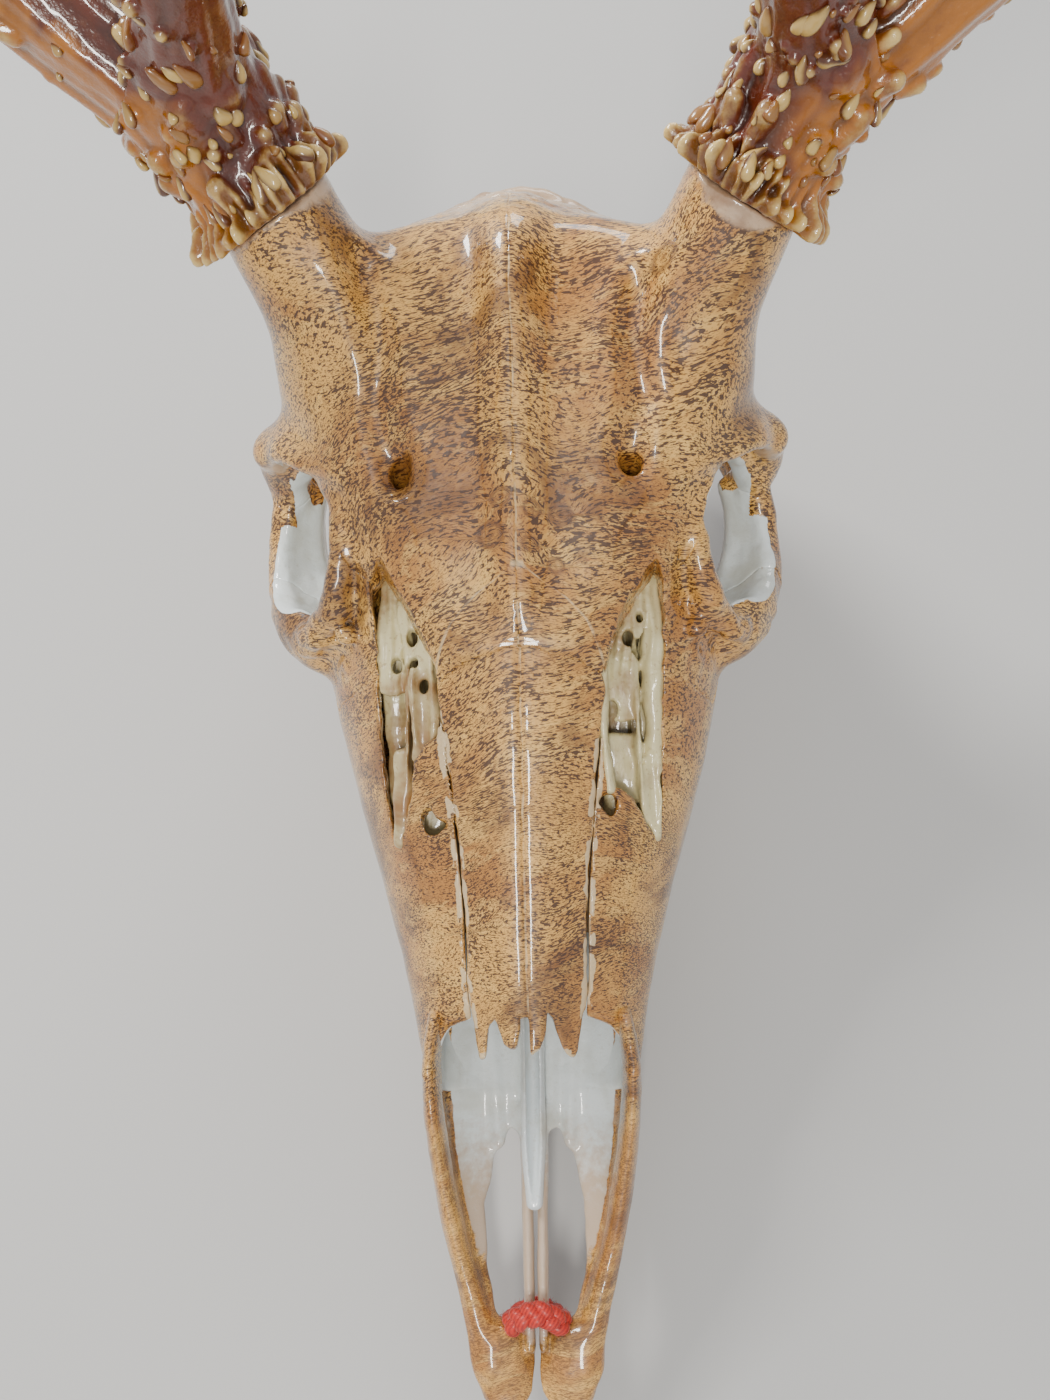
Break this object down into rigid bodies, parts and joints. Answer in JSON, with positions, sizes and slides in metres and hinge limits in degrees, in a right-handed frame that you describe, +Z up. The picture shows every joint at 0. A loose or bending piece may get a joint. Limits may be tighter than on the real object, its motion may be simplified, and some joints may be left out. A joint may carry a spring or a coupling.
{
  "type": "decorated white-tailed deer skull with antlers",
  "caption": "Life-size buck skull without its lower jaw, both antlers on, dipped in a wood-grain film under a clear coat, with a short red cord round the bones of the snout.",
  "frame": {"origin": "middle of the whole part's footprint, at the level that the cheek teeth and the paroccipital processes rest on", "axes": "+X towards the animal's own left, +Y towards the back of the skull (the nose points to -Y), +Z up"},
  "size_m": [0.44, 0.2946, 0.4027],
  "materials": {
    "frontal_film": "tan wood-grain film under a high-gloss clear coat",
    "face_film": "tan wood-grain film fading to the pale undercoat inside the nose and eye sockets, clear coated",
    "nasal_film": "tan wood-grain film under a high-gloss clear coat",
    "snout_film": "tan wood-grain film over pale bone, clear coated",
    "braincase_film": "wood-grain film fading to pinkish beige bone behind and below, clear coated",
    "bare_bone": "ivory bone with a thin clear coat",
    "antler": "red-brown to amber antler with cream knobs, clear coated",
    "red_cord": "matt braided cord"
  },
  "bodies": {
    "root": {"frontal_left": "frontal_film", "frontal_right": "frontal_film", "maxilla_left": "face_film", "maxilla_right": "face_film", "lacrimal_left": "face_film", "lacrimal_right": "face_film", "zygomatic_left": "face_film", "zygomatic_right": "face_film", "nasal_left": "nasal_film", "nasal_right": "nasal_film", "premaxilla_left": "snout_film", "premaxilla_right": "snout_film", "braincase": "braincase_film", "turbinates_left": "bare_bone", "turbinates_right": "bare_bone", "vomer": "bare_bone", "antler_base_left": "antler", "antler_base_right": "antler", "antler_middle_left": "antler", "antler_middle_right": "antler", "antler_fork_left": "antler", "antler_fork_right": "antler", "antler_end_left": "antler", "antler_end_right": "antler", "brow_tine_left": "antler", "brow_tine_right": "antler", "second_tine_left": "antler", "second_tine_right": "antler", "third_tine_left": "antler", "third_tine_right": "antler", "cord": "red_cord"}
  },
  "joints": []
}
